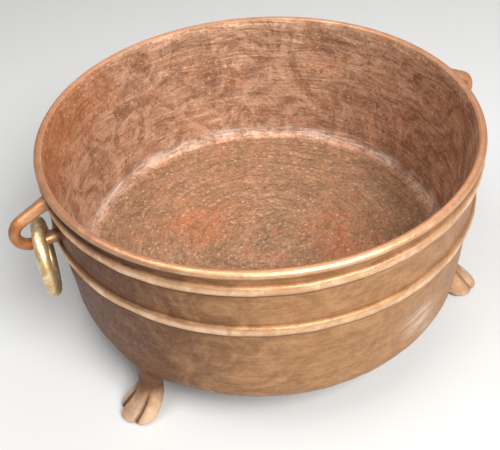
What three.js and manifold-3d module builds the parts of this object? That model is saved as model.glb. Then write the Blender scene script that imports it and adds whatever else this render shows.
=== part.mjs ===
// Cast bronze bowl on three paw feet, with a loose ring hanging in a lug on either side.
// Millimetres, +Z up. The soles stand on z = 0 and the origin is under the middle of the outline.
// The bowl, its beads, feet and lugs are one casting, and each ring is a piece of its own.

import * as THREE from 'three';
import { mergeVertices } from 'three/addons/utils/BufferGeometryUtils.js';
import Module from 'manifold-3d';

const wasm = await Module();
wasm.setup();

// Driving dimensions of the vessel

const RIM_RADIUS = 90;
const RIM_HEIGHT = 95;
const STAND_HEIGHT = 16; // clear height under the bowl
const WALL = 2.6; // under the lip, and thicker further down
const FLOOR = 9; // in the middle
const LIP_PROUD = 1.4; // the wall flares out to the lip by this much
const LIP_HEIGHT = 4.5;
const LIP_WIDTH = 3.4;
const LIP_ROUND = 0.9;
const LOWER_LEAN = THREE.MathUtils.degToRad(2); // the wall below the lower bead leans in
const INNER_LEAN = THREE.MathUtils.degToRad(3); // and its inner face, all the way down
const CORNER_RADIUS = 15; // outside, between wall and underside
const FLOOR_FILLET = 5;
const FLOOR_RISE = 3; // from the middle of the floor to the fillet
const FLOOR_LEVEL_RADIUS = 26; // the middle of the floor is level this far out
const UPPER_BEAD = { below: 8.5, height: 4.2, proud: 1.8 };
const LOWER_BEAD = { below: 29, height: 4.6, proud: 1.7 };

// Driving dimensions of the feet

// Degrees round the bowl, and how far the toes turn off straight out. One paw is cast askew.
const FEET = [
  { angle: 90, toeTurn: 0 },
  { angle: 210.8, toeTurn: -16 },
  { angle: 330, toeTurn: 0 },
];
const PAW_WIDTH = 17.6;
const PAW_LENGTH = 15.4;
const PAW_OVERHANG = 10; // toe tips past the rim
const ANKLE_HEIGHT = 14.5;
const ANKLE_INSET = 3; // its middle, in from the foot of the wall
const ANKLE_WIDTH = 10.6;
const ANKLE_DEPTH = 9.6;
const ROOT_HEIGHT = 36; // the leg runs this far up the wall
const ROOT_WIDTH = 25; // and spreads this wide there
const TOE_NOTCH = 0.17; // depth as a share of the way in from the toe tips

// Driving dimensions of the lugs and rings

const LUG_ANGLES = { left: 184.5, right: 359 }; // degrees, set by eye, not quite opposite
const LUG_REACH = 16.2; // past the rim
const LUG_TOP = 4.8; // middle of the upper bar, below the rim, where it leaves the wall
const LUG_BOTTOM = 21.9; // middle of the lower bar, below the rim
const LUG_SLOPE = THREE.MathUtils.degToRad(25); // the upper bar falls outward
const LUG_THICK = 4.5; // the bar, measured in the plane of the loop
const LUG_BREADTH = 5.4; // the bar, measured across the loop
const RING_RADIUS = 13.6; // to the middle of the wire
const RING_WIRE = 5.3;
const RING_OUT = 5.6; // the wire hangs this far out from the rim
const RING_TWIST = THREE.MathUtils.degToRad(11); // the rings hang a little askew
const RING_GAP = 0.4;

// Fineness of the facets

const LATHE_SIDES = 60;
const CORNER_STEPS = 7;
const FILLET_STEPS = 4;
const FLOOR_STEPS = 3;
const BEAD_STEPS = 6;
const FOOT_SIDES = 26;
const FOOT_LEVELS = 14;
const LUG_STEPS = 18;
const LUG_SIDES = 10;
const RING_STEPS = 30;
const RING_SIDES = 10;

// Helpers

const radians = THREE.MathUtils.degToRad;
const lerp = THREE.MathUtils.lerp;

function toSolid(geometry) {
  geometry.deleteAttribute('normal');
  geometry.deleteAttribute('uv');
  const merged = mergeVertices(geometry, 1e-4);
  return new wasm.Manifold(new wasm.Mesh({
    numProp: 3,
    vertProperties: Float32Array.from(merged.attributes.position.array),
    triVerts: Uint32Array.from(merged.index.array),
  }));
}

function toGeometry(solid) {
  const mesh = solid.getMesh();
  const geometry = new THREE.BufferGeometry();
  geometry.setAttribute('position', new THREE.BufferAttribute(mesh.vertProperties, 3));
  geometry.setIndex(new THREE.BufferAttribute(mesh.triVerts, 1));
  geometry.computeVertexNormals();
  return geometry;
}

// Points [radius, height] on an arc, from one angle to another

function arc(centre, radius, from, to, steps) {
  const points = [];
  for (let i = 0; i <= steps; i += 1) {
    const angle = lerp(from, to, i / steps);
    points.push([centre.radius + radius * Math.cos(angle), centre.height + radius * Math.sin(angle)]);
  }
  return points;
}

// A profile of [radius, height] points, turned round the bowl's axis

function turned(profile) {
  const points = profile.map(([radius, height]) => new THREE.Vector2(radius, height));
  const geometry = new THREE.LatheGeometry(points, LATHE_SIDES);
  geometry.rotateX(Math.PI / 2);
  return toSolid(geometry);
}

// A smooth value at a height, read between stations that each give it at their own height

function between(stations, key, height) {
  const last = stations.length - 1;
  const slope = (i) => {
    const low = stations[Math.max(i - 1, 0)];
    const high = stations[Math.min(i + 1, last)];
    return (high[key] - low[key]) / (high.height - low.height);
  };
  let i = 0;
  while (i < last - 1 && height > stations[i + 1].height) i += 1;
  const span = stations[i + 1].height - stations[i].height;
  const t = THREE.MathUtils.clamp((height - stations[i].height) / span, 0, 1);
  const rest = 1 - t;
  return stations[i][key] * rest * rest * (1 + 2 * t)
    + stations[i + 1][key] * t * t * (3 - 2 * t)
    + span * t * rest * (slope(i) * rest - slope(i + 1) * t);
}

// The vessel: wall, beads, lip and rounded corner outside, and a filleted hollow inside

const wallRadius = RIM_RADIUS - LIP_PROUD;
const leanTop = RIM_HEIGHT - LOWER_BEAD.below;

// Where a corner of this radius, standing on this level, meets a wall that leans in from its top

function cornerCentre(level, corner, wallTop, lean) {
  const height = level + corner;
  const meets = height - corner * Math.sin(lean);
  const wallThere = wallTop.radius - (wallTop.height - meets) * Math.tan(lean);
  return { radius: wallThere - corner * Math.cos(lean), height, meets };
}

const outerTop = { radius: wallRadius, height: leanTop };
const innerTop = { radius: wallRadius - WALL, height: RIM_HEIGHT - LIP_HEIGHT };
const floorLevel = STAND_HEIGHT + FLOOR;
const outerCorner = cornerCentre(STAND_HEIGHT, CORNER_RADIUS, outerTop, LOWER_LEAN);
const innerCorner = cornerCentre(floorLevel + FLOOR_RISE, FLOOR_FILLET, innerTop, INNER_LEAN);

// Radius of the wall's outer face, leaving the beads and the lip aside

function outerRadius(height) {
  if (height >= leanTop) return wallRadius;
  if (height >= outerCorner.meets) return wallRadius - (leanTop - height) * Math.tan(LOWER_LEAN);
  const drop = Math.min(outerCorner.height - height, CORNER_RADIUS);
  return outerCorner.radius + Math.sqrt(CORNER_RADIUS ** 2 - drop ** 2);
}

function beadProfile(bead) {
  const middle = RIM_HEIGHT - bead.below;
  const points = [];
  for (let i = 0; i <= BEAD_STEPS; i += 1) {
    const angle = lerp(-Math.PI / 2, Math.PI / 2, i / BEAD_STEPS);
    const height = middle + (bead.height / 2) * Math.sin(angle);
    points.push([outerRadius(height) + bead.proud * Math.cos(angle), height]);
  }
  return points;
}

function vesselOutside() {
  const lipEdge = { radius: RIM_RADIUS - LIP_ROUND, height: RIM_HEIGHT - LIP_ROUND };
  return turned([
    [0, STAND_HEIGHT],
    ...arc(outerCorner, CORNER_RADIUS, -Math.PI / 2, -LOWER_LEAN, CORNER_STEPS),
    ...beadProfile(LOWER_BEAD),
    ...beadProfile(UPPER_BEAD),
    [wallRadius, RIM_HEIGHT - LIP_HEIGHT],
    ...arc(lipEdge, LIP_ROUND, 0, Math.PI / 2, 3),
    [0, RIM_HEIGHT],
  ]);
}

// The floor, level in the middle and rising gently to the fillet

function floorProfile() {
  const points = [[0, floorLevel]];
  for (let i = 0; i < FLOOR_STEPS; i += 1) {
    const out = i / FLOOR_STEPS;
    points.push([lerp(FLOOR_LEVEL_RADIUS, innerCorner.radius, out), floorLevel + FLOOR_RISE * out * out]);
  }
  return points;
}

function vesselInside() {
  const rimInner = RIM_RADIUS - LIP_WIDTH;
  const above = RIM_HEIGHT + LIP_ROUND;
  return turned([
    ...floorProfile(),
    ...arc(innerCorner, FLOOR_FILLET, -Math.PI / 2, -INNER_LEAN, FILLET_STEPS),
    [innerTop.radius, innerTop.height],
    [rimInner, RIM_HEIGHT - LIP_ROUND],
    [rimInner + LIP_ROUND, RIM_HEIGHT],
    [rimInner + LIP_ROUND, above],
    [0, above],
  ]);
}

// A paw foot, in level ovals from the sole to the root. Its three toes are parted by two
// notches that run up the front and fade at the ankle. Back and front are distances from
// the bowl's axis, and half is half the width.

const ankleMiddle = outerRadius(outerCorner.meets) - ANKLE_INSET;
const toeTip = RIM_RADIUS + PAW_OVERHANG;
const heelBack = toeTip - PAW_LENGTH;
const ankleFront = ankleMiddle + ANKLE_DEPTH / 2;
const ankleBack = ankleMiddle - ANKLE_DEPTH / 2;
const buried = ankleBack - WALL;
const spreadHeight = lerp(ANKLE_HEIGHT, ROOT_HEIGHT, 0.42);

const PAW_STATIONS = [
  { share: 0, back: heelBack + 1.2, front: toeTip - 1.5, half: 0.44 * PAW_WIDTH, notch: 0.75 },
  { share: 0.13, back: heelBack, front: toeTip, half: 0.5 * PAW_WIDTH, notch: 1 },
  { share: 0.36, back: lerp(heelBack, ankleBack, 0.4), front: lerp(toeTip, ankleFront, 0.2), half: 0.47 * PAW_WIDTH, notch: 1 },
  { share: 0.64, back: lerp(heelBack, ankleBack, 0.8), front: lerp(toeTip, ankleFront, 0.56), half: 0.39 * PAW_WIDTH, notch: 0.65 },
];

const FOOT_STATIONS = [
  ...PAW_STATIONS.map((station) => ({ ...station, height: station.share * ANKLE_HEIGHT })),
  { height: ANKLE_HEIGHT, back: ankleBack, front: ankleFront, half: ANKLE_WIDTH / 2, notch: 0.2 },
  { height: spreadHeight, back: buried, front: outerRadius(spreadHeight) + 1.8, half: 0.33 * ROOT_WIDTH, notch: 0 },
  { height: ROOT_HEIGHT, back: buried, front: outerRadius(ROOT_HEIGHT) + 0.2, half: ROOT_WIDTH / 2, notch: 0 },
];

const NOTCH_AT = 0.5; // radians either side of straight ahead
const NOTCH_SPREAD = 0.17;
const MIDDLE_SHARE = 0.45; // each oval is widest at this share of the way from back to front
const CROWDING = 0.45; // corners of the oval crowd to the front, where the toes are
const UP = new THREE.Vector3(0, 0, 1);
const ankleAxis = new THREE.Vector3(ankleMiddle, 0, 0);

function footPoint(angle, height) {
  const back = between(FOOT_STATIONS, 'back', height);
  const front = between(FOOT_STATIONS, 'front', height);
  const half = between(FOOT_STATIONS, 'half', height);
  const cut = TOE_NOTCH * between(FOOT_STATIONS, 'notch', height);
  const offNotch = (Math.abs(angle) - NOTCH_AT) / NOTCH_SPREAD;
  const inward = 1 - cut * Math.exp(-offNotch * offNotch);
  const middle = lerp(back, front, MIDDLE_SHARE);
  const depth = Math.cos(angle) > 0 ? front - middle : middle - back;
  return new THREE.Vector3(middle + depth * inward * Math.cos(angle), half * inward * Math.sin(angle), height);
}

function foot({ angle, toeTurn }) {
  const drum = new THREE.CylinderGeometry(1, 1, 1, FOOT_SIDES, FOOT_LEVELS);
  drum.rotateX(Math.PI / 2);
  const places = drum.attributes.position;
  const place = new THREE.Vector3();
  for (let i = 0; i < places.count; i += 1) {
    place.fromBufferAttribute(places, i);
    const spread = Math.hypot(place.x, place.y);
    const bearing = Math.atan2(place.y, place.x);
    const height = (place.z + 0.5) * ROOT_HEIGHT;
    const edge = footPoint(bearing - CROWDING * Math.sin(bearing), height);
    const middle = footPoint(Math.PI / 2, height);
    place.set(lerp(middle.x, edge.x, spread), edge.y * spread, height);
    const turned = radians(toeTurn) * (1 - THREE.MathUtils.smoothstep(height, 0, ANKLE_HEIGHT));
    place.sub(ankleAxis).applyAxisAngle(UP, turned).add(ankleAxis);
    places.setXYZ(i, place.x, place.y, place.z);
  }
  drum.rotateZ(radians(angle));
  return toSolid(drum);
}

// A lug: a bar bent into an upright loop, both ends rooted in the wall

const lugTip = RIM_RADIUS + LUG_REACH - LUG_THICK / 2;
const lugLow = RIM_HEIGHT - LUG_BOTTOM;
const lugHigh = RIM_HEIGHT - LUG_TOP;

// The bend is the arc that ends level on the lower bar and meets the sloping upper bar

function lugBend() {
  const fall = Math.tan(LUG_SLOPE);
  const tall = lugHigh - lugLow - (lugTip - wallRadius) * fall;
  const radius = tall / (1 + 1 / Math.cos(LUG_SLOPE) - fall);
  return { radius: lugTip - radius, height: lugLow + radius, bend: radius };
}

function lug(degrees) {
  const rooted = wallRadius - WALL / 2;
  const centre = lugBend();
  const line = [
    [rooted, lugHigh + (wallRadius - rooted) * Math.tan(LUG_SLOPE)],
    ...arc(centre, centre.bend, Math.PI / 2 - LUG_SLOPE, -Math.PI / 2, 9),
    [rooted, lugLow],
  ];
  const path = new THREE.CurvePath();
  for (let i = 1; i < line.length; i += 1) {
    const [from, to] = [line[i - 1], line[i]].map(([radius, height]) => new THREE.Vector3(radius, 0, height));
    path.add(new THREE.LineCurve3(from, to));
  }
  const section = new THREE.Shape();
  section.absellipse(0, 0, LUG_THICK / 2, LUG_BREADTH / 2, 0, 2 * Math.PI);
  const bar = new THREE.ExtrudeGeometry(section, {
    steps: LUG_STEPS, curveSegments: LUG_SIDES, extrudePath: path, bevelEnabled: false,
  });
  bar.rotateZ(radians(degrees));
  return toSolid(bar);
}

// Pieces

function bowlGeometry() {
  let casting = vesselOutside();
  for (const one of FEET) casting = casting.add(foot(one));
  for (const angle of Object.values(LUG_ANGLES)) casting = casting.add(lug(angle));
  return toGeometry(casting.subtract(vesselInside()));
}

const bronze = new THREE.MeshStandardMaterial({ color: 0x8a5f42, roughness: 0.45, metalness: 0.85 });
const ringBrass = new THREE.MeshStandardMaterial({ color: 0xb9a271, roughness: 0.4, metalness: 0.85 });

const bowl = new THREE.Mesh(bowlGeometry(), bronze);
bowl.name = 'bowl';

// A ring hangs upright on the lower bar of its lug, turned a little about the vertical

function hangingRing(side) {
  const hang = new THREE.Group();
  hang.rotation.z = radians(LUG_ANGLES[side]);
  const ring = new THREE.Mesh(new THREE.TorusGeometry(RING_RADIUS, RING_WIRE / 2, RING_SIDES, RING_STEPS), ringBrass.clone());
  ring.name = `ring_${side}`;
  const wireTop = lugLow + LUG_THICK / 2 + RING_GAP + RING_WIRE / 2;
  ring.position.set(RIM_RADIUS + RING_OUT, 0, wireTop - RING_RADIUS);
  ring.rotation.set(0, Math.PI / 2, side === 'left' ? -RING_TWIST : RING_TWIST, 'ZYX');
  hang.add(ring);
  return hang;
}

const object = new THREE.Group();
object.add(bowl, hangingRing('left'), hangingRing('right'));

// The origin goes under the middle of the outline, because one paw reaches past the rim

object.updateMatrixWorld(true);
const outline = new THREE.Box3().setFromObject(object);
const middle = outline.getCenter(new THREE.Vector3());
object.position.set(-middle.x, -middle.y, -outline.min.z);

export default object;
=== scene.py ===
"""Cast bronze bowl on three paw feet, with a loose ring hanging in a lug on either side."""

import math

import bmesh
import bpy
import numpy as np
from mathutils import Matrix, Vector


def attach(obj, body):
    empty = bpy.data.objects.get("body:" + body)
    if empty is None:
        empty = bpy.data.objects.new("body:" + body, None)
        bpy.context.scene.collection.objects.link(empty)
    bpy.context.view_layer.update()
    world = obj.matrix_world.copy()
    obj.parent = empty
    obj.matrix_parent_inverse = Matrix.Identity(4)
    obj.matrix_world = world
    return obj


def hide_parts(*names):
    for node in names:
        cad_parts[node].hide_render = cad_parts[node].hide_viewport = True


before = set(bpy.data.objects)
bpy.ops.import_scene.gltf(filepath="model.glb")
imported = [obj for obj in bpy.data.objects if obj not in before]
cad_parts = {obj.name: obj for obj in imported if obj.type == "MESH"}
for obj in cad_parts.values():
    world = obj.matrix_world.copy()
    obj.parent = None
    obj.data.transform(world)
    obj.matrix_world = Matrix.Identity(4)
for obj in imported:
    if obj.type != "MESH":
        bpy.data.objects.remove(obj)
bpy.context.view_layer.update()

# Sizes in millimetres, heights above the soles, radii from the bowl's own axis

MM = 0.001
AXIS = np.array((-0.156, -4.688, 0.0))
RIM_RADIUS = 90.0
RIM_HEIGHT = 95.0
STAND_HEIGHT = 16.0
WALL = 2.6
FLOOR = 9.0
LIP_PROUD = 1.4
LIP_HEIGHT = 4.5
LIP_WIDTH = 3.4
LIP_EDGE = 1.9
LIP_INNER_EDGE = 1.2
LIP_CURVE = 1.7
OUTER_LEAN = math.radians(2)
INNER_LEAN = math.radians(3)
CORNER = 15.0
FILLET = 5.0
FLOOR_RISE = 3.0
FLOOR_LEVEL_RADIUS = 26.0
BEADS = ((8.5, 4.2, 1.75), (29.0, 4.6, 1.65))  # below the rim, height, proud of the wall
LOWER_BEAD_TILT = 0.9
WALL_RADIUS = RIM_RADIUS - LIP_PROUD
LEAN_TOP = RIM_HEIGHT - BEADS[1][0]
FAR_OUT = 70.0  # past this radius there is only the wall and what grows from it
SIDES = 320

FEET = ((90.0, 0.0), (210.8, -16.0), (330.0, 0.0))  # angle round the bowl, turn of the toes
PAW_WIDTH = 17.6
PAW_LENGTH = 15.2
TOE_TIP = 99.7
ANKLE_HEIGHT = 14.5
ANKLE_WIDTH = 10.6
ANKLE_DEPTH = 9.6
ROOT_HEIGHT = 37.0
ROOT_WIDTH = 26.0
TOE_GROOVE = 0.22
GROOVE_AT = 0.62  # radians either side of straight ahead
GROOVE_SPREAD = 0.15
HAIR_RIDGE = 0.02
HAIR_SPACING = 0.24  # radians

# The swelling of the wall round the root of a leg
SWELL = 1.7
SWELL_RADIUS = 88.0
SWELL_WIDTH = 11.0
SWELL_MIDDLE = 25.0
SWELL_HEIGHT = 8.0

LUG_ANGLES = {"left": 184.5, "right": 359.0}
LUG_TIP = 103.9
LUG_LOW = RIM_HEIGHT - 21.9
LUG_HIGH = RIM_HEIGHT - 4.8
LUG_SLOPE = math.radians(25)
LUG_HALF = (2.25, 2.7)  # in the plane of the loop, and across it
LUG_WORN = 0.97
LUG_UNEVEN = 0.012

# How much thicker the bar grows toward the wall, as shares, how far out that starts, and its sag
LUG_ROOT_UPPER = 0.4
LUG_ROOT_LOWER = 0.1
LUG_ROOT_ACROSS = 0.3
LUG_ROOT_REACH = 2.4
LUG_ROOT_SAG = 1.1

RING_RADIUS = 13.6
RING_HALF = 2.6
RING_OUT = 5.6
RING_TWIST = 11.0
RING_GAP = 0.4  # from the lug's bar to the wire that rests on it
RING_WIRE = 2.65  # half of the solid ring's wire
RING_TOP = LUG_LOW + LUG_HALF[0] + RING_GAP + RING_WIRE

# Unevenness of the handwork: how far the metal is held in, and how far it strays from there
WALL_HELD, WALL_STRAY = 0.16, 0.13
RIM_HELD, RIM_STRAY = 0.14, 0.12
BEAD_HELD, BEAD_STRAY = 0.12, 0.1
HAMMERED, PITTED = 0.07, 0.04
SWIRL_DEPTH, FLOOR_STRAY = 0.06, 0.12
RIPPLE_DEPTH, INNER_STRAY = 0.05, 0.1

# Gouges in the floor: distance from the middle, angle, length, width, depth
GOUGES = (
    (72.0, 134.0, 7.0, 1.1, 0.8), (66.0, 47.0, 9.0, 1.0, 0.8), (61.0, 351.0, 6.0, 1.2, 0.6),
    (55.0, 344.0, 7.0, 1.1, 0.6), (52.0, 96.0, 16.0, 0.9, 0.35), (43.0, 62.0, 15.0, 1.0, 0.35),
    (37.0, 118.0, 14.0, 1.0, 0.35), (30.0, 160.0, 12.0, 1.1, 0.3), (47.0, 20.0, 12.0, 1.0, 0.3),
)
GOUGE_BEND = 0.012
GOUGE_LIP = 0.6  # height of the metal pushed up beside a gouge, as a share of its depth

# Pale worn patches on the outer wall: angle, height, spread round the wall, spread in height
SCUFFS = ((288.0, 43.0, 9.0, 8.0), (293.0, 35.0, 5.0, 5.0))

# Orange patches on the floor inside: distance from the middle, angle, spread
ORANGE = ((34.0, 131.0, 15.0), (38.0, 338.0, 17.0))

# How bright the worn metal is, as shares
RIM_SHINE = 0.85
RIM_EDGE_SHINE = 0.6
PAW_SHINE = 0.95
LUG_SHINE = 0.62

# Where painted shade and dirt lie, and how much of them, as shares of the painted shade under a bead
DIRT_AND_SHADE_REACH = 2.6
DIRT_AND_SHADE_SPREAD = 0.6
OVER_BEAD_DIRT = 0.3
ANKLE_SHADE = 0.4
ANKLE_SHADE_HEIGHT = 16.5
ANKLE_SHADE_SPREAD = 2.5

# How far to either side a paw and its ankle reach, and how far out the ankle starts
PAW_SIDE = 15.0
ANKLE_SIDE = 9.0
ANKLE_OUT = 74.0

# Where the seams of the legs are softened: heights, and degrees to either side of a foot
SEAM_LOW = 14.5
SEAM_HIGH = 60.0
SEAM_SIDE = 16.0


# Shape helpers

def smoothstep(low, high, value):
    t = np.clip((value - low) / (high - low), 0, 1)
    return t * t * (3 - 2 * t)


def lerp(start, end, share):
    return start + (end - start) * share


def bump(value, middle, spread):
    return np.exp(-((value - middle) / spread) ** 2)


def wrapped(degrees):
    """The same angle, between -180 and 180."""
    return (degrees + 180) % 360 - 180


def angle_off(x, y, degrees):
    """How many degrees a place lies round the bowl from an angle."""
    return wrapped(np.degrees(np.arctan2(y, x)) - degrees)


def turned(x, y, turn):
    """Places turned about the axis by an angle in radians."""
    return x * np.cos(turn) - y * np.sin(turn), x * np.sin(turn) + y * np.cos(turn)


def turned_about(points, degrees):
    x, y = turned(points[:, 0], points[:, 1], math.radians(degrees))
    return np.column_stack((x, y, points[:, 2]))


def waves(points, length, seed, count=14):
    """Smooth unevenness of about -1 to 1, with features about this long."""
    local = np.random.default_rng(seed)
    total = np.zeros(len(points))
    for _ in range(count):
        way = local.normal(size=3)
        way *= 2 * math.pi / length * local.uniform(0.6, 1.5) / np.linalg.norm(way)
        total += np.sin(points @ way + local.uniform(0, 2 * math.pi))
    return total / math.sqrt(count)


def arc(centre, radius, start, end, steps):
    turn = np.radians(np.linspace(start, end, steps))
    return [(centre[0] + radius * math.cos(a), centre[1] + radius * math.sin(a)) for a in turn]


def line(start, end, steps):
    return [tuple(p) for p in np.linspace(start, end, steps)]


def corner_centre(level, radius, wall_top, lean):
    """Centre of a rounded corner between a level face and a leaning wall, and where it meets the wall."""
    height = level + radius
    meets = height - radius * math.sin(lean)
    out = wall_top[0] - (wall_top[1] - meets) * math.tan(lean) - radius * math.cos(lean)
    return out, height, meets


INNER_TOP = (WALL_RADIUS - WALL, RIM_HEIGHT - LIP_HEIGHT)
FLOOR_LEVEL = STAND_HEIGHT + FLOOR
OUTER = corner_centre(STAND_HEIGHT, CORNER, (WALL_RADIUS, LEAN_TOP), OUTER_LEAN)
INNER = corner_centre(FLOOR_LEVEL + FLOOR_RISE, FILLET, INNER_TOP, INNER_LEAN)


def outer_radius(height):
    height = np.asarray(height, float)
    wall = WALL_RADIUS - np.maximum(LEAN_TOP - height, 0) * math.tan(OUTER_LEAN)
    drop = np.clip(OUTER[1] - height, 0, CORNER)
    return np.where(height < OUTER[2], OUTER[0] + np.sqrt(CORNER ** 2 - drop ** 2), wall)


def mesh_object(name, points, faces):
    mesh = bpy.data.meshes.new(name)
    mesh.from_pydata(((np.asarray(points) + AXIS) * MM).tolist(), [], faces)
    made = bpy.data.objects.new(name, mesh)
    bpy.context.scene.collection.objects.link(made)
    return made


def tube_faces(rows, columns, closed_rows=False):
    faces = []
    for i in range(rows if closed_rows else rows - 1):
        here, above = i * columns, (i + 1) % rows * columns
        for j in range(columns):
            k = (j + 1) % columns
            faces.append((here + j, here + k, above + k, above + j))
    return faces


def capped_tube_faces(rows, columns):
    faces = tube_faces(rows, columns)
    faces.append(tuple(reversed(range(columns))))
    faces.append(tuple(range((rows - 1) * columns, rows * columns)))
    return faces


# The vessel: one closed wall, turned from the middle of the floor to the middle of the underside

def bead_arc(bead):
    below, height, proud = bead
    made = []
    for a in np.radians(np.linspace(90, -90, 15)):
        level = RIM_HEIGHT - below + height / 2 * math.sin(a)
        made.append((float(outer_radius(level)) + proud * math.cos(a) ** 0.8, level))
    return made


def floor_line():
    made = []
    for radius in np.linspace(1, INNER[0], 72):
        out = max(radius - FLOOR_LEVEL_RADIUS, 0) / (INNER[0] - FLOOR_LEVEL_RADIUS)
        made.append((radius, FLOOR_LEVEL + FLOOR_RISE * out ** 2))
    return made


def lip_flare():
    """The outer face of the lip, from its rounded edge down to the wall."""
    made = arc((RIM_RADIUS - LIP_EDGE - 0.05, RIM_HEIGHT - LIP_EDGE), LIP_EDGE, 90, 0, 9)
    for fall in np.linspace(0.15, 1, 8):
        level = lerp(RIM_HEIGHT - LIP_EDGE, RIM_HEIGHT - LIP_HEIGHT - 0.85, fall)
        made.append((WALL_RADIUS + LIP_PROUD * (1 - fall) ** LIP_CURVE, level))
    return made


def vessel_profile():
    """Radii and heights along the wall's section, and the row that the outside starts from."""
    made = floor_line()
    made += arc(INNER, FILLET, -84, -math.degrees(INNER_LEAN), 14)
    made += line(made[-1], INNER_TOP, 46)[1:]
    inset = LIP_INNER_EDGE + 0.1
    edge_centre = (RIM_RADIUS - LIP_WIDTH + inset, RIM_HEIGHT - inset)
    made += arc(edge_centre, LIP_INNER_EDGE, 170, 90, 6)
    outside_from = len(made)
    made += lip_flare()
    made += bead_arc(BEADS[0])
    top = RIM_HEIGHT - BEADS[0][0] - BEADS[0][1] / 2
    low = RIM_HEIGHT - BEADS[1][0] + BEADS[1][1] / 2
    made += line((WALL_RADIUS, top - 0.5), (WALL_RADIUS, low + 0.5), 13)
    made += bead_arc(BEADS[1])
    foot = RIM_HEIGHT - BEADS[1][0] - BEADS[1][1] / 2 - 0.5
    made += line((float(outer_radius(foot)), foot), (float(outer_radius(OUTER[2])), OUTER[2]), 26)
    made += arc(OUTER, CORNER, -2, -90, 20)[1:]
    made += line((OUTER[0], STAND_HEIGHT), (1.0, STAND_HEIGHT), 12)[1:]
    return np.array(made), outside_from


def swollen(radius, height, turn, outside):
    """The legs swell the wall that they grow from."""
    for angle, _ in FEET:
        along = np.radians(wrapped(np.degrees(turn) - angle)) * SWELL_RADIUS
        swell = SWELL * bump(along, 0, SWELL_WIDTH) * bump(height, SWELL_MIDDLE, SWELL_HEIGHT)
        swell = swell * outside * (radius > FAR_OUT)
        radius = radius + swell
        height = height - 0.5 * swell
    return radius, height


def hand_made(points, radius, height, turn, outside):
    """Unevenness of the whole, only ever inward at the lip and the beads."""
    high = smoothstep(70, 92, height)
    radius = radius - (WALL_HELD + WALL_STRAY * waves(points, 160, 11)) * (1 - 0.2 * high) * (radius > 20)
    height = height - (RIM_HELD + RIM_STRAY * waves(points, 120, 12)) * smoothstep(88, 95, height)
    height = np.minimum(height, RIM_HEIGHT - 0.02)
    off_level = outside * bump(height, RIM_HEIGHT - BEADS[1][0], 9)
    height = height - LOWER_BEAD_TILT * np.cos(turn) * off_level
    beads = sum(bump(height, RIM_HEIGHT - below, tall) for below, tall, _ in BEADS) * outside
    radius = radius - beads * (BEAD_HELD + BEAD_STRAY * waves(points, 14, 13))
    hand = HAMMERED * waves(points, 22, 14) + PITTED * waves(points, 6, 15)
    radius = radius + hand * outside * (1 - beads) * (height < 90) - 0.05 * (radius > 88)
    return radius, height


def worked_inside(points, radius, height, turn, inside):
    """Turning marks and gouges on the floor, ripples up the inner wall."""
    flat = smoothstep(INNER[0] + 4, INNER[0] - 6, radius)
    swirl = np.sin((radius + height) * 1.9 + 1.6 * waves(points, 46, 16))
    swirl = swirl * (0.5 + 0.5 * waves(points, 30, 17))
    height = height + inside * flat * (SWIRL_DEPTH * swirl + FLOOR_STRAY * waves(points, 34, 18))
    for out, at, length, width, depth in GOUGES:
        off = np.radians(wrapped(np.degrees(turn) - at)) * out
        across = radius - out - GOUGE_BEND * off ** 2
        furrow = bump(across, 0, width) - GOUGE_LIP * bump(across, 1.8 * width, width)
        height = height - inside * depth * bump(off, 0, length) * furrow
    ripple = np.sin(height * 1.35 + 2.2 * waves(points, 60, 19)) * (0.5 + 0.5 * waves(points, 40, 20))
    uneven = RIPPLE_DEPTH * ripple + INNER_STRAY * waves(points, 26, 21)
    radius = radius - inside * (1 - flat) * (height < 90) * uneven
    return radius, height


def make_vessel():
    profile, outside_from = vessel_profile()
    rows = len(profile)
    turn = np.tile(np.radians(np.arange(SIDES) * 360 / SIDES), rows)
    radius, height = (np.repeat(profile[:, i], SIDES) for i in (0, 1))
    outside = np.repeat(np.arange(rows) >= outside_from, SIDES)
    even = np.column_stack((radius * np.cos(turn), radius * np.sin(turn), height))
    radius, height = swollen(radius, height, turn, outside)
    radius, height = hand_made(even, radius, height, turn, outside)
    radius, height = worked_inside(even, radius, height, turn, ~outside)
    points = np.column_stack((radius * np.cos(turn), radius * np.sin(turn), height))
    faces = [tuple(reversed(f)) for f in tube_faces(rows, SIDES)]
    top, base = len(points), len(points) + 1
    points = np.vstack((points, (0, 0, points[:SIDES, 2].mean()), (0, 0, STAND_HEIGHT)))
    last = (rows - 1) * SIDES
    for j in range(SIDES):
        k = (j + 1) % SIDES
        faces.append((top, j, k))
        faces.append((base, last + k, last + j))
    return mesh_object("casting", points, faces)


# A paw foot, in level ovals from the sole to the root

ANKLE_MIDDLE = float(outer_radius(OUTER[2])) - 3
ANKLE_BACK = ANKLE_MIDDLE - ANKLE_DEPTH / 2
ANKLE_FRONT = ANKLE_MIDDLE + ANKLE_DEPTH / 2
HEEL = TOE_TIP - PAW_LENGTH
SPREAD_HEIGHT = lerp(ANKLE_HEIGHT, ROOT_HEIGHT, 0.42)

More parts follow.
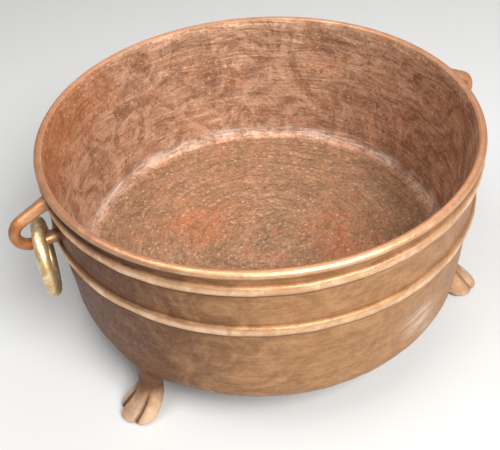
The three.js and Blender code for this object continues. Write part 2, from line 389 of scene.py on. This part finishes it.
# Height, back, front, half the width, depth of the grooves between the toes
STATIONS = np.array((
    (0.0, HEEL + 1.2, TOE_TIP - 1.6, 0.44 * PAW_WIDTH, 0.75),
    (1.9, HEEL, TOE_TIP, 0.5 * PAW_WIDTH, 1.0),
    (5.2, lerp(HEEL, ANKLE_BACK, 0.4), lerp(TOE_TIP, ANKLE_FRONT, 0.2), 0.47 * PAW_WIDTH, 1.0),
    (9.3, lerp(HEEL, ANKLE_BACK, 0.8), lerp(TOE_TIP, ANKLE_FRONT, 0.56), 0.39 * PAW_WIDTH, 0.8),
    (ANKLE_HEIGHT, ANKLE_BACK, ANKLE_FRONT, ANKLE_WIDTH / 2, 0.35),
    (SPREAD_HEIGHT, ANKLE_BACK - 2, float(outer_radius(SPREAD_HEIGHT)) + 1.9, 0.33 * ROOT_WIDTH, 0.0),
    (ROOT_HEIGHT, ANKLE_BACK - 2, float(outer_radius(ROOT_HEIGHT)) + 0.1, ROOT_WIDTH / 2, 0.0),
))


def stations_at(level):
    """The stations' values at a height, on a smooth curve through them."""
    heights, values = STATIONS[:, 0], STATIONS[:, 1:]
    slopes = np.zeros_like(values)
    for i in range(len(heights)):
        low, high = max(i - 1, 0), min(i + 1, len(heights) - 1)
        slopes[i] = (values[high] - values[low]) / (heights[high] - heights[low])
    i = int(np.clip(np.searchsorted(heights, level, side="right") - 1, 0, len(heights) - 2))
    span = heights[i + 1] - heights[i]
    t = (level - heights[i]) / span
    u = 1 - t
    return (values[i] * u * u * (1 + 2 * t) + values[i + 1] * t * t * (3 - 2 * t)
            + span * t * u * (slopes[i] * u - slopes[i + 1] * t))


def foot_oval(level, bearing, toe_turn):
    """The outline of a foot at a height, with the grooves between its toes."""
    back, front, half, deep = stations_at(level)
    off = (bearing + math.pi) % (2 * math.pi) - math.pi
    groove = TOE_GROOVE * deep * np.exp(-np.abs(np.abs(off) - GROOVE_AT) / GROOVE_SPREAD)
    ridges = HAIR_RIDGE * deep * np.cos(off * 2 * math.pi / HAIR_SPACING) * (np.abs(off) < 1.2)
    inward = 1 - groove + ridges * smoothstep(4, 9, level)
    middle = lerp(back, front, 0.45)
    depth = np.where(np.cos(bearing) > 0, front - middle, middle - back)
    # The sole's edge and the toe tips are rounded off
    tuck = 1 - 0.06 * (1 - smoothstep(0, 1.2, level))
    x = middle + depth * inward * np.cos(bearing) * tuck
    y = half * inward * np.sin(bearing) * tuck
    turn = math.radians(toe_turn) * (1 - float(smoothstep(0, ANKLE_HEIGHT, level)))
    x, y = turned(x - ANKLE_MIDDLE, y, turn)
    return x + ANKLE_MIDDLE, y


def make_foot(angle, toe_turn, sides=84, levels=60):
    bearing = np.linspace(0, 2 * math.pi, sides, endpoint=False)
    bearing = bearing - 0.5 * np.sin(bearing)
    points = []
    for level in ROOT_HEIGHT * np.linspace(0, 1, levels):
        x, y = foot_oval(level, bearing, toe_turn)
        # Behind the wall's middle the leg would show inside the bowl
        if level > STAND_HEIGHT + 1:
            least = float(outer_radius(level)) - WALL / 2
            grow = np.maximum(least / np.hypot(x, y), 1)
            x, y = x * grow, y * grow
        points += [(a, b, level) for a, b in zip(x, y)]
    points = np.array(points)
    points[:, 0] -= 0.05 * (1 + waves(points, 9, 31))
    return mesh_object("foot", turned_about(points, angle), capped_tube_faces(levels, sides))


# A lug: a bar bent into an upright loop, thicker where it grows from the wall

def lug_path():
    fall = math.tan(LUG_SLOPE)
    tall = LUG_HIGH - LUG_LOW - (LUG_TIP - WALL_RADIUS) * fall
    bend = tall / (1 + 1 / math.cos(LUG_SLOPE) - fall)
    rooted = WALL_RADIUS - WALL / 2
    centre = (LUG_TIP - bend, LUG_LOW + bend)
    made = arc(centre, bend, 90 - math.degrees(LUG_SLOPE), -90, 40)
    made = line((rooted, LUG_HIGH + (WALL_RADIUS - rooted) * fall), made[0], 16)[:-1] + made
    return np.array(made + line(made[-1], (rooted, LUG_LOW), 18)[1:])


def make_lug(degrees, seed, sides=28):
    path = lug_path()
    ahead = np.gradient(path, axis=0)
    ahead /= np.linalg.norm(ahead, axis=1)[:, None]
    turn = np.linspace(0, 2 * math.pi, sides, endpoint=False)
    points = []
    for (radius, height), (out, up) in zip(path, ahead):
        root = math.exp(-max(radius - WALL_RADIUS, 0) / LUG_ROOT_REACH)
        upper = height > (LUG_LOW + LUG_HIGH) / 2
        worn = LUG_WORN + LUG_UNEVEN * math.sin(height * 0.9 + seed)
        inner = LUG_HALF[0] * worn * (1 + (LUG_ROOT_UPPER if upper else LUG_ROOT_LOWER) * root)
        across = LUG_HALF[1] * worn * (1 + LUG_ROOT_ACROSS * root)
        height -= LUG_ROOT_SAG * root if upper else 0
        side = np.sign(np.cos(turn)) * np.abs(np.cos(turn)) ** 0.86 * inner
        points += [(radius - up * s, across * math.sin(t), height + out * s) for s, t in zip(side, turn)]
    points = np.array(points)
    points[:, 0] = np.maximum(points[:, 0], WALL_RADIUS - WALL / 2)
    return mesh_object("lug", turned_about(points, degrees), capped_tube_faces(len(path), sides))


# Joining the casting's parts, and shading

def recalculate(made):
    work = bmesh.new()
    work.from_mesh(made.data)
    bmesh.ops.recalc_face_normals(work, faces=work.faces)
    work.to_mesh(made.data)
    work.free()


def joined(base, parts):
    """The base and its parts as one closed surface."""
    for made in (base, *parts):
        recalculate(made)
    for part in parts:
        union = base.modifiers.new("union", "BOOLEAN")
        union.operation = "UNION"
        union.solver = "MANIFOLD"
        union.object = part
    graph = bpy.context.evaluated_depsgraph_get()
    mesh = bpy.data.meshes.new_from_object(base.evaluated_get(graph))
    base.modifiers.clear()
    base.data = mesh
    for part in parts:
        bpy.data.objects.remove(part)


def creased(edge, least):
    return len(edge.link_faces) == 2 and edge.calc_face_angle(0) > math.radians(least)


def by_leg(place):
    x, y, z = place / MM - Vector(AXIS)
    near_foot = min(abs(angle_off(x, y, angle)) for angle, _ in FEET) < SEAM_SIDE
    return near_foot and SEAM_LOW < z < SEAM_HIGH and math.hypot(x, y) > FAR_OUT


def soften_seams(made, least=16, rings=4, rounds=14):
    """Rounds off the creases where the legs grow from the wall."""
    work = bmesh.new()
    work.from_mesh(made.data)
    work.verts.ensure_lookup_table()
    near = set()
    for edge in work.edges:
        if creased(edge, least) and by_leg(edge.verts[0].co):
            near.update(edge.verts)
    for _ in range(rings):
        near.update([e.other_vert(v) for v in list(near) for e in v.link_edges])
    axes = {"use_axis_x": True, "use_axis_y": True, "use_axis_z": True}
    for _ in range(rounds):
        bmesh.ops.smooth_vert(work, verts=list(near), factor=0.5, **axes)
    work.to_mesh(made.data)
    work.free()


def shade(made, sharp=38):
    mesh = made.data
    mesh.shade_smooth()
    work = bmesh.new()
    work.from_mesh(mesh)
    for edge in work.edges:
        if creased(edge, sharp):
            edge.smooth = False
    work.to_mesh(mesh)
    work.free()


# Where the metal is worn bright, where shade is painted and dirt has settled, and which face of the bowl
# it is

def rim_masks(z, reach):
    """Bright on top of the lip, less so on its outer edge."""
    top = smoothstep(RIM_HEIGHT - 1.4, RIM_HEIGHT - 0.5, z)
    edge = bump(z, RIM_HEIGHT - 1.2, 1.0) * (reach > RIM_RADIUS - 1.2)
    return top, np.maximum(RIM_SHINE * top, RIM_EDGE_SHINE * edge)


def bead_masks(x, z, reach):
    """Bright along the beads, with painted shade in the corner under each and a little dirt over it."""
    proud_now = reach - outer_radius(z)
    bright, dirt_and_shade = np.zeros(len(x)), np.zeros(len(x))
    for below, height, proud in BEADS:
        tilt = LOWER_BEAD_TILT * x / np.maximum(reach, 1) if below == BEADS[1][0] else 0
        middle = RIM_HEIGHT - below - tilt
        crest = smoothstep(0.25 * proud, 0.8 * proud, proud_now) * bump(z, middle + 0.3, height * 0.6)
        # Painted shade in the corner under the bead, and dirt a little over it
        under, over = (bump(z, middle + way * (height / 2 + 0.4), DIRT_AND_SHADE_SPREAD) for way in (-1, 1))
        bright = np.maximum(bright, crest)
        shaded_and_dirty = np.maximum(under, OVER_BEAD_DIRT * over) * (proud_now < DIRT_AND_SHADE_REACH)
        dirt_and_shade = np.maximum(dirt_and_shade, shaded_and_dirty)
    return bright, dirt_and_shade


def paw_masks(x, y, z, reach):
    """Bright on the toes, darker in the grooves between them, and painted shade round the ankle under the
    bowl.
    """
    bright, dirt_and_shade = np.zeros(len(x)), np.zeros(len(x))
    levels = np.linspace(0, ANKLE_HEIGHT + 2, 40)
    half = np.interp(z, levels, [stations_at(level)[2] for level in levels])
    for angle, toe_turn in FEET:
        ahead, aside = turned(x, y, -math.radians(angle))
        untwist = -math.radians(toe_turn) * (1 - smoothstep(0, ANKLE_HEIGHT, z))
        ahead, aside = turned(ahead - ANKLE_MIDDLE, aside, untwist)
        here = (np.abs(aside) < PAW_SIDE) & (z < STAND_HEIGHT) & (reach > FAR_OUT)
        groove = bump(np.abs(aside) / half, math.sin(GROOVE_AT), 0.09) * (ahead > 0) * here
        groove = groove * smoothstep(ANKLE_HEIGHT + 1, 9, z)
        # Painted shade round the ankle, under the bowl's body
        ankle = ANKLE_SHADE * bump(z, ANKLE_SHADE_HEIGHT, ANKLE_SHADE_SPREAD)
        ankle = ankle * (np.abs(aside) < ANKLE_SIDE) * (reach > ANKLE_OUT) * (ahead > -ANKLE_SIDE)
        dirt_and_shade = np.maximum(dirt_and_shade, np.maximum(groove, ankle))
        worn = PAW_SHINE * here * (1 - groove) * smoothstep(15, 6, z) * (ahead > -6)
        bright = np.maximum(bright, worn)
    return bright, dirt_and_shade


def scuff_mask(x, y, z, reach):
    made = np.zeros(len(x))
    for at, level, spread, tall in SCUFFS:
        off = np.radians(angle_off(x, y, at)) * reach
        made = np.maximum(made, bump(off, 0, spread) * bump(z, level, tall) * (reach > FAR_OUT))
    return made


def orange_mask(x, y):
    made = np.zeros(len(x))
    for out, at, spread in ORANGE:
        middle_x, middle_y = turned(out, 0, math.radians(at))
        made = np.maximum(made, bump(np.hypot(x - middle_x, y - middle_y), 0, spread))
    return made


def lug_mask(x, y, z, reach):
    made = np.zeros(len(x))
    clear = smoothstep(WALL_RADIUS + 0.8, WALL_RADIUS + 2.8, reach)
    for angle in LUG_ANGLES.values():
        off = np.radians(angle_off(x, y, angle)) * reach
        made = np.maximum(made, (np.abs(off) < 6) * (z > LEAN_TOP) * clear)
    return made


def paint_masks(made):
    mesh = made.data
    points = np.empty(len(mesh.vertices) * 3)
    mesh.vertices.foreach_get("co", points)
    x, y, z = (points.reshape(-1, 3) / MM - AXIS).T
    reach = np.hypot(x, y)
    inner_wall = INNER_TOP[0] - (INNER_TOP[1] - z) * math.tan(INNER_LEAN)
    within = reach < np.minimum(inner_wall + 1.2, outer_radius(z) - 1)
    inside = (within & (z > FLOOR_LEVEL - 1.5)).astype(float)
    outside = 1 - inside
    floor = inside * smoothstep(INNER[0] + 3.5, INNER[0] - 1, reach)
    rim, rim_bright = rim_masks(z, reach)
    bead_bright, bead_dirt_and_shade = bead_masks(x, z, reach)
    paw_bright, paw_dirt_and_shade = paw_masks(x, y, z, reach)
    lug = lug_mask(x, y, z, reach)
    masks = {
        "bright": np.maximum.reduce((rim_bright, outside * bead_bright, paw_bright, LUG_SHINE * lug)),
        "dirt_and_shade": outside * np.maximum(bead_dirt_and_shade, paw_dirt_and_shade),
        "inside": inside,
        "floor": floor,
        # The band round the floor's edge, where a highlight is painted
        "fillet": inside * bump(z, INNER[1] - 1, 2.3) * (reach > INNER[0] + 2),
        "orange": floor * orange_mask(x, y),
        "lug": lug,
        "rim": rim,
        "scuff": outside * scuff_mask(x, y, z, reach),
    }
    for name, values in masks.items():
        held = mesh.attributes.new(name, "FLOAT", "POINT")
        held.data.foreach_set("value", np.asarray(values, np.float32))


# Surfaces

def linear(seen):
    """Linear values of a colour given as it is seen, 0 to 255."""
    shares = [value / 255 for value in seen]
    return tuple(((v + 0.055) / 1.055) ** 2.4 if v > 0.04 else v / 12.92 for v in shares) + (1.0,)


class Surface:
    """A material, built up from a few kinds of node. Places are in millimetres from the bowl's axis."""

    def __init__(self, name):
        self.material = bpy.data.materials.new(name)
        self.material.use_nodes = True
        self.tree = self.material.node_tree
        self.shader = next(n for n in self.tree.nodes if n.type == "BSDF_PRINCIPLED")
        place = self.node("ShaderNodeTexCoord").outputs["Object"]
        moved = self.vector("SUBTRACT", place, tuple(AXIS * MM))
        self.place = self.vector("SCALE", moved, scale=1 / MM)
        parts = self.node("ShaderNodeSeparateXYZ")
        self.join(self.place, parts.inputs[0])
        self.x, self.y, self.z = parts.outputs
        self.reach = self.math("SQRT", self.plus(self.times(self.x, self.x), self.times(self.y, self.y)))

    def node(self, kind):
        return self.tree.nodes.new(kind)

    def join(self, value, socket):
        if isinstance(value, bpy.types.NodeSocket):
            self.tree.links.new(value, socket)
        else:
            socket.default_value = value

    def math(self, operation, a, b=0.0, clamp=False):
        node = self.node("ShaderNodeMath")
        node.operation, node.use_clamp = operation, clamp
        self.join(a, node.inputs[0])
        self.join(b, node.inputs[1])
        return node.outputs[0]

    def plus(self, a, b):
        return self.math("ADD", a, b)

    def times(self, a, b):
        return self.math("MULTIPLY", a, b)

    def vector(self, operation, a, b=(0, 0, 0), scale=1.0):
        node = self.node("ShaderNodeVectorMath")
        node.operation = operation
        self.join(a, node.inputs[0])
        if operation == "SCALE":
            self.join(scale, node.inputs["Scale"])
        else:
            self.join(b, node.inputs[1])
        return node.outputs[0]

    def combined(self, x, y, z):
        node = self.node("ShaderNodeCombineXYZ")
        for value, socket in zip((x, y, z), node.inputs):
            self.join(value, socket)
        return node.outputs[0]

    def held(self, name):
        node = self.node("ShaderNodeAttribute")
        node.attribute_name = name
        return node.outputs["Fac"]

    def noise(self, size, detail=4.0, rough=0.6, twist=0.0, place=None):
        """Noise of 0 to 1 with lumps of about this many millimetres."""
        node = self.node("ShaderNodeTexNoise")
        self.join(place if place is not None else self.place, node.inputs["Vector"])
        node.inputs["Scale"].default_value = 1 / size
        node.inputs["Detail"].default_value = detail
        node.inputs["Roughness"].default_value = rough
        node.inputs["Distortion"].default_value = twist
        return node.outputs["Fac"]

    def streaks(self, fine, length, detail=4.0, twist=0.0):
        """Noise drawn out round the bowl, as turning leaves it."""
        along = self.math("DIVIDE", self.plus(self.reach, self.z), fine)
        x, y = (self.times(self.math("DIVIDE", part, self.reach), length) for part in (self.x, self.y))
        return self.noise(1.0, detail, 0.62, twist, self.combined(along, x, y))

    def step(self, value, low, high, to_low=0.0, to_high=1.0):
        """A smooth step of the value from one number to another."""
        node = self.node("ShaderNodeMapRange")
        node.interpolation_type = "SMOOTHSTEP"
        self.join(value, node.inputs["Value"])
        limits = {"From Min": low, "From Max": high, "To Min": to_low, "To Max": to_high}
        for name, number in limits.items():
            node.inputs[name].default_value = number
        return node.outputs["Result"]

    def mix(self, factor, a, b):
        """A colour between two colours, given as seen or by a node."""
        node = self.node("ShaderNodeMix")
        node.data_type = "RGBA"
        self.join(factor, node.inputs[0])
        self.join(linear(a) if isinstance(a, tuple) else a, node.inputs[6])
        self.join(linear(b) if isinstance(b, tuple) else b, node.inputs[7])
        return node.outputs[2]

    def blend(self, factor, a, b):
        """A number between two numbers."""
        node = self.node("ShaderNodeMix")
        self.join(factor, node.inputs[0])
        self.join(a, node.inputs[2])
        self.join(b, node.inputs[3])
        return node.outputs[0]

    def relief(self, height, millimetres, under=None):
        node = self.node("ShaderNodeBump")
        node.inputs["Strength"].default_value = 1.0
        node.inputs["Distance"].default_value = millimetres * MM
        self.join(height, node.inputs["Height"])
        if under is not None:
            self.join(under, node.inputs["Normal"])
        return node.outputs["Normal"]


# Colours as they are seen: red, green and blue, 0 to 255

BROWN = (150, 110, 74)
LIGHT_BROWN = (168, 126, 88)
STREAK_BROWN = (182, 138, 98)
BLOT_BROWN = (126, 82, 52)
HAIR_BROWN = (122, 78, 40)
SIDE_BROWN = (122, 84, 60)
PAINTED_SHADE_DEEP = (66, 40, 30)
PAINTED_SHADE_PALE = (112, 72, 48)
SCUFF_PALE = (206, 184, 164)
INNER_BROWN = (138, 100, 76)
INNER_PINK = (186, 146, 118)
INNER_ORANGE = (172, 104, 62)
WRINKLE_DARK = (104, 66, 48)
WRINKLE_PALE = (220, 186, 158)
WALL_GLOW = (166, 96, 46)
INNER_HAIR_PALE = (214, 172, 138)
INNER_HAIR_DARK = (104, 64, 42)
FLOOR_TAN = (128, 98, 72)
FLOOR_LIGHT = (148, 112, 86)
FLOOR_RUST = (172, 108, 74)
FLOOR_ORANGE = (176, 102, 62)
SWIRL_DARK = (104, 70, 48)
SWIRL_PALE = (196, 158, 126)
FLOOR_HAIR_PALE = (206, 166, 126)
FLOOR_HAIR_DARK = (106, 68, 42)
PAINTED_SPARKLE_SPECK = (214, 184, 158)
SPECK_DARK = (84, 54, 40)
PAINTED_HIGHLIGHT_BAND = (204, 192, 182)
BRASS = (204, 160, 122)
BRASS_PALE = (228, 194, 160)
LUG_COPPER = (192, 126, 80)
RIM_COPPER = (186, 118, 78)
RIM_COPPER_PALE = (218, 158, 120)
SHADE_AND_DIRT_BROWN = (58, 34, 18)
RING_BRASS = (190, 160, 114)
RING_PALE = (230, 208, 168)
RING_PIT = (104, 74, 44)


def outer_patina(s, patches, blotches, hairs):
    """Brown with drawn-out rubbed streaks, painted shade darkest on the left, and pale worn patches."""
    made = s.mix(s.step(patches, 0.36, 0.62), BROWN, LIGHT_BROWN)
    made = s.mix(s.step(s.streaks(3.0, 4), 0.48, 0.68, 0, 0.4), made, STREAK_BROWN)
    made = s.mix(s.step(hairs, 0.5, 0.34, 0, 0.4), made, HAIR_BROWN)
    made = s.mix(s.step(blotches, 0.56, 0.72, 0, 0.35), made, BLOT_BROWN)
    made = s.mix(s.step(s.x, 12, 75, 0, 0.5), made, SIDE_BROWN)
    # Painted shade: darker towards the left side, away from the light, broken up by the patches
    aside = s.plus(s.plus(s.times(s.x, 0.95), s.times(s.y, 0.15)), s.times(patches, 50))
    made = s.mix(s.step(aside, -16, -60, 0, 0.9), made, s.mix(blotches, PAINTED_SHADE_DEEP, PAINTED_SHADE_PALE))
    worn = s.times(s.held("scuff"), s.step(s.streaks(2.5, 5), 0.4, 0.62, 0.15, 0.8))
    return s.mix(worn, made, SCUFF_PALE)


def inner_patina(s, patches, wrinkles, hairs):
    """Pinkish brown with drawn-out wrinkles, orange near the rim on the left."""
    made = s.mix(s.step(patches, 0.35, 0.65), INNER_BROWN, INNER_PINK)
    made = s.mix(s.step(s.noise(24, 5, 0.66, 2.8), 0.5, 0.68, 0, 0.45), made, INNER_ORANGE)
    made = s.mix(s.step(wrinkles, 0.6, 0.68, 0, 0.5), made, WRINKLE_DARK)
    made = s.mix(s.step(wrinkles, 0.38, 0.28, 0, 0.4), made, WRINKLE_PALE)
    made = s.mix(s.step(hairs, 0.56, 0.68, 0, 0.2), made, INNER_HAIR_PALE)
    made = s.mix(s.step(hairs, 0.47, 0.36, 0, 0.3), made, INNER_HAIR_DARK)
    glow = s.times(s.step(s.z, 55, 88), s.step(s.x, -25, -80))
    return s.mix(s.times(glow, 0.6), made, WALL_GLOW)


def floor_patina(s, patches, blotches, swirls, hairs):
    """Mottled tan and rust with two orange patches, scored by turning."""
    made = s.mix(s.step(patches, 0.38, 0.6), FLOOR_TAN, FLOOR_LIGHT)
    made = s.mix(s.step(s.noise(20, 6, 0.66, 2.8), 0.5, 0.66, 0, 0.45), made, FLOOR_RUST)
    broken = s.step(blotches, 0.38, 0.6, 0.15, 0.75)
    made = s.mix(s.times(s.held("orange"), broken), made, FLOOR_ORANGE)
    made = s.mix(s.step(swirls, 0.56, 0.66, 0, 0.4), made, SWIRL_DARK)
    made = s.mix(s.step(swirls, 0.42, 0.32, 0, 0.25), made, SWIRL_PALE)
    made = s.mix(s.step(hairs, 0.54, 0.66, 0, 0.2), made, FLOOR_HAIR_PALE)
    return s.mix(s.step(hairs, 0.47, 0.35, 0, 0.3), made, FLOOR_HAIR_DARK)


def bright_metal(s, blotches):
    """Brass on beads and toes, copper on the lugs and the rim."""
    made = s.mix(s.step(blotches, 0.4, 0.65), BRASS, BRASS_PALE)
    made = s.mix(s.times(s.held("lug"), s.step(blotches, 0.4, 0.6, 0.4, 1.0)), made, LUG_COPPER)
    return s.mix(s.times(s.held("rim"), 0.85), made, s.mix(blotches, RIM_COPPER, RIM_COPPER_PALE))


def bronze_surface():
    s = Surface("patinated_bronze")
    inside, floor, fillet = s.held("inside"), s.held("floor"), s.held("fillet")
    bright, dirt_and_shade = s.held("bright"), s.held("dirt_and_shade")
    grain = s.noise(1.6, 5, 0.7)
    fine = s.noise(0.55, 3, 0.7)
    patches = s.noise(26, 6, 0.66, 2.8)
    blotches = s.noise(9, 6, 0.68, 0.6)
    swirls = s.streaks(4.6, 2.2, 4, 0.7)
    wrinkles = s.streaks(8.0, 2.4, 4, 1.0)
    hairs = s.streaks(1.6, 8.0, 4, 0.8)

    outer = outer_patina(s, patches, blotches, hairs)
    inner = inner_patina(s, patches, wrinkles, hairs)
    ground = floor_patina(s, patches, blotches, swirls, hairs)
    made = s.mix(inside, outer, s.mix(floor, inner, ground))
    # Grains: pale specks painted as the grain's sparkle, and dark specks, mostly inside
    strewn = s.blend(inside, 0.14, 0.7)
    made = s.mix(s.times(strewn, s.step(grain, 0.55, 0.7)), made, PAINTED_SPARKLE_SPECK)
    made = s.mix(s.times(strewn, s.step(grain, 0.46, 0.32)), made, SPECK_DARK)
    # Painted highlight: the pale band round the floor, broken up
    band_highlight = s.times(s.step(blotches, 0.36, 0.6, 0.2, 1.0), s.step(hairs, 0.42, 0.56, 0.25, 0.9))
    band_highlight = s.times(s.times(fillet, band_highlight), s.step(fine, 0.35, 0.6, 0.55, 1.0))
    made = s.mix(s.times(band_highlight, 0.85), made, PAINTED_HIGHLIGHT_BAND)
    # Bright metal, broken up by what is left of the patina
    clean = s.plus(s.times(blotches, 0.6), s.times(grain, 0.4))
    broken = s.times(bright, s.step(clean, 0.3, 0.5, 0.62, 1.0))
    made = s.mix(broken, made, bright_metal(s, blotches))
    # Painted shade under the beads and round the ankles, with dirt over the beads and darkening in the
    # toes' grooves
    made = s.mix(s.times(dirt_and_shade, 0.86), made, SHADE_AND_DIRT_BROWN)
    s.join(made, s.shader.inputs["Base Color"])

    metal = s.blend(broken, s.blend(inside, 0.6, 0.38), 0.8)
    s.join(s.blend(dirt_and_shade, metal, 0.15), s.shader.inputs["Metallic"])
    rough = s.blend(broken, s.blend(inside, 0.5, 0.52), 0.36)
    rough = s.plus(rough, s.step(grain, 0.35, 0.65, 0.1, -0.06))
    rough = s.plus(rough, s.times(fillet, 0.22))
    s.join(s.blend(dirt_and_shade, rough, 0.7), s.shader.inputs["Roughness"])
    s.shader.inputs["Specular IOR Level"].default_value = 0.28

    dull = s.math("SUBTRACT", 1.0, bright, clamp=True)
    drawn = s.times(s.blend(floor, wrinkles, swirls), s.times(inside, dull))
    normal = s.relief(s.noise(7, 3, 0.5), 0.4)
    normal = s.relief(drawn, 1.3, normal)
    normal = s.relief(s.times(grain, s.blend(dull, 0.1, 1.0)), 0.2, normal)
    normal = s.relief(s.times(fine, dull), 0.06, normal)
    s.join(normal, s.shader.inputs["Normal"])
    return s.material


def ring_surface():
    s = Surface("ring_brass")
    blotches, grain = s.noise(6, 5, 0.65, 0.5), s.noise(1.2, 4, 0.7)
    made = s.mix(s.step(blotches, 0.38, 0.64), RING_BRASS, RING_PALE)
    made = s.mix(s.step(grain, 0.44, 0.3, 0, 0.5), made, RING_PIT)
    s.join(made, s.shader.inputs["Base Color"])
    s.shader.inputs["Metallic"].default_value = 0.8
    s.join(s.step(blotches, 0.3, 0.7, 0.42, 0.28), s.shader.inputs["Roughness"])
    s.join(s.relief(grain, 0.12, s.relief(s.noise(5, 3, 0.5), 0.3)), s.shader.inputs["Normal"])
    return s.material


# Pieces

def make_casting():
    casting = make_vessel()
    limbs = [make_foot(angle, turn) for angle, turn in FEET]
    limbs += [make_lug(angle, i) for i, angle in enumerate(LUG_ANGLES.values())]
    joined(casting, limbs)
    soften_seams(casting)
    paint_masks(casting)
    shade(casting)
    return casting


def make_ring(side, seed, steps=110, sides=30):
    around = np.linspace(0, 2 * math.pi, steps, endpoint=False)
    section = np.linspace(0, 2 * math.pi, sides, endpoint=False)
    a, b = np.repeat(around, sides), np.tile(section, steps)
    thick = RING_HALF * (0.975 + 0.02 * np.sin(3 * a + seed) + 0.008 * np.sin(11 * a + 2 * seed))
    big = RING_RADIUS + thick * np.cos(b)
    # The loop lies in the plane of y and z before it is twisted
    flat = np.column_stack((thick * np.sin(b), big * np.sin(a), big * np.cos(a)))
    twist = RING_TWIST if side == "right" else -RING_TWIST
    points = turned_about(flat, twist) + (RIM_RADIUS + RING_OUT, 0, RING_TOP - RING_RADIUS)
    points = turned_about(points, LUG_ANGLES[side])
    made = mesh_object("hung_ring_" + side, points, tube_faces(steps, sides, closed_rows=True))
    recalculate(made)
    made.data.shade_smooth()
    return made


casting = make_casting()
casting.data.materials.clear()
casting.data.materials.append(bronze_surface())
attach(casting, "bowl")
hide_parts("bowl")

ring_finish = ring_surface()
for seed, side in enumerate(LUG_ANGLES):
    hung = make_ring(side, seed)
    hung.data.materials.append(ring_finish)
    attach(hung, "ring_" + side)
    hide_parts("ring_" + side)


# Floor, lights and camera, in metres

GROUND = 4.0
GROUND_LEVEL = -0.00005
PAPER = (0.42, 0.416, 0.408, 1)
SKY = (0.95, 0.97, 1.0, 1)
SKY_STRENGTH = 0.38
AIM = Vector((0, 0, 0.05))


def make_floor_piece():
    corners = [(x * GROUND, y * GROUND, 0) for x, y in ((-1, -1), (1, -1), (1, 1), (-1, 1))]
    mesh = bpy.data.meshes.new("floor")
    mesh.from_pydata(corners, [], [(0, 1, 2, 3)])
    paper = bpy.data.materials.new("paper")
    paper.use_nodes = True
    shader = next(n for n in paper.node_tree.nodes if n.type == "BSDF_PRINCIPLED")
    shader.inputs["Base Color"].default_value = PAPER
    shader.inputs["Roughness"].default_value = 0.9
    mesh.materials.append(paper)
    ground = bpy.data.objects.new("floor", mesh)
    ground.location.z = GROUND_LEVEL
    bpy.context.scene.collection.objects.link(ground)
    return ground


def area_light(name, place, power, size):
    data = bpy.data.lights.new(name, "AREA")
    data.energy, data.size = power, size
    lamp = bpy.data.objects.new(name, data)
    lamp.location = place
    lamp.rotation_euler = (AIM - Vector(place)).to_track_quat("-Z", "Y").to_euler()
    bpy.context.scene.collection.objects.link(lamp)


floor_piece = make_floor_piece()
area_light("key", (0.12, -0.66, 0.74), 19.0, 0.46)
area_light("fill", (-0.4, -0.05, 0.95), 5.5, 0.5)
area_light("top", (0.45, 0.3, 0.9), 2.0, 0.6)

world = bpy.data.worlds.new("studio")
bpy.context.scene.world = world
world.use_nodes = True
sky = next(n for n in world.node_tree.nodes if n.type == "BACKGROUND")
sky.inputs["Color"].default_value = SKY
sky.inputs["Strength"].default_value = SKY_STRENGTH

# The camera's place and turn, in rim radii about the middle of the rim

TILT = math.radians(41.92)
DISTANCE, ASIDE, ABOVE = 3.143, -0.070, -0.491
ROLL = math.radians(-4.39)
ROUND = math.radians(-21.2)
LENS, SENSOR = 50.4, 36.0  # millimetres

back = Vector((0, -math.cos(TILT), math.sin(TILT)))
right = Vector((1, 0, 0))
above = Vector((0, math.sin(TILT), math.cos(TILT)))
stand = back * DISTANCE + right * ASIDE + above * ABOVE
across = math.cos(ROLL) * right + math.sin(ROLL) * above
upward = -math.sin(ROLL) * right + math.cos(ROLL) * above
spin = Matrix.Rotation(ROUND, 3, "Z")
camera = bpy.data.objects.new("camera", bpy.data.cameras.new("camera"))
camera.data.lens = LENS
camera.data.sensor_width = SENSOR
camera.data.clip_start = 0.01
facing = Matrix((spin @ across, spin @ upward, spin @ back)).transposed()
rim_middle = Vector(AXIS * MM) + Vector((0, 0, RIM_HEIGHT * MM))
camera.matrix_world = Matrix.Translation(rim_middle + spin @ stand * RIM_RADIUS * MM) @ facing.to_4x4()
bpy.context.scene.collection.objects.link(camera)
bpy.context.scene.camera = camera
bpy.context.scene.view_settings.view_transform = "Standard"
